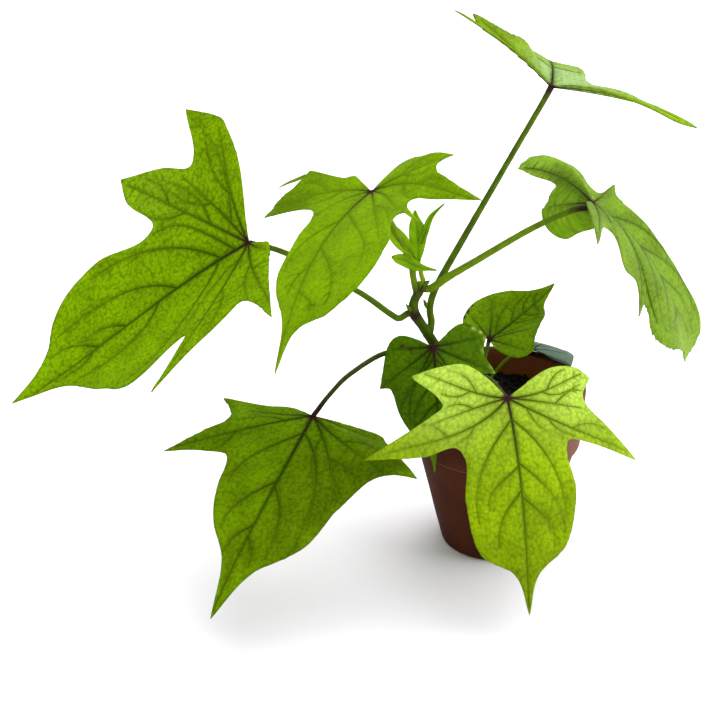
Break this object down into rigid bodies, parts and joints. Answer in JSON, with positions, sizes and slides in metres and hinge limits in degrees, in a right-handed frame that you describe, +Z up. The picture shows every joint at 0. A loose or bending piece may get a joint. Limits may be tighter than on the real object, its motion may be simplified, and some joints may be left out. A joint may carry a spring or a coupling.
{
  "type": "potted sweet potato plant",
  "caption": "Young sweet potato plant with lobed leaves on slender stalks, rising from a leaning stem in a small round terracotta pot.",
  "frame": {"origin": "centre of the pot's flat underside", "axes": "+Z up along the pot's axis, -Y towards the open front of the plant, +X to the right of it, away from the stem's lean"},
  "size_m": [0.2163, 0.1345, 0.1714],
  "materials": {
    "terracotta": "fired clay, unglazed and matt",
    "soil": "damp crumbly potting soil",
    "stem": "smooth green stem with purple joints",
    "leaf": "soft veined leaf",
    "dark_leaf": "soft veined leaf in shade",
    "bright_leaf": "soft pale young leaf"
  },
  "bodies": {
    "root": {"pot": "terracotta", "soil": "soil", "main_stem": "stem", "stalk_left": "stem", "stalk_upper": "stem", "stalk_low": "stem", "stalk_front": "stem", "stalk_rim": "stem", "stalk_back": "stem", "stalk_top": "stem", "stalk_right": "stem", "stalk_far": "stem", "leaf_left": "leaf", "leaf_upper": "leaf", "leaf_low": "dark_leaf", "leaf_front": "bright_leaf", "leaf_rim": "dark_leaf", "leaf_back": "dark_leaf", "leaf_top": "leaf", "leaf_right": "leaf", "leaf_far": "dark_leaf", "young_leaves": "bright_leaf"}
  },
  "joints": []
}
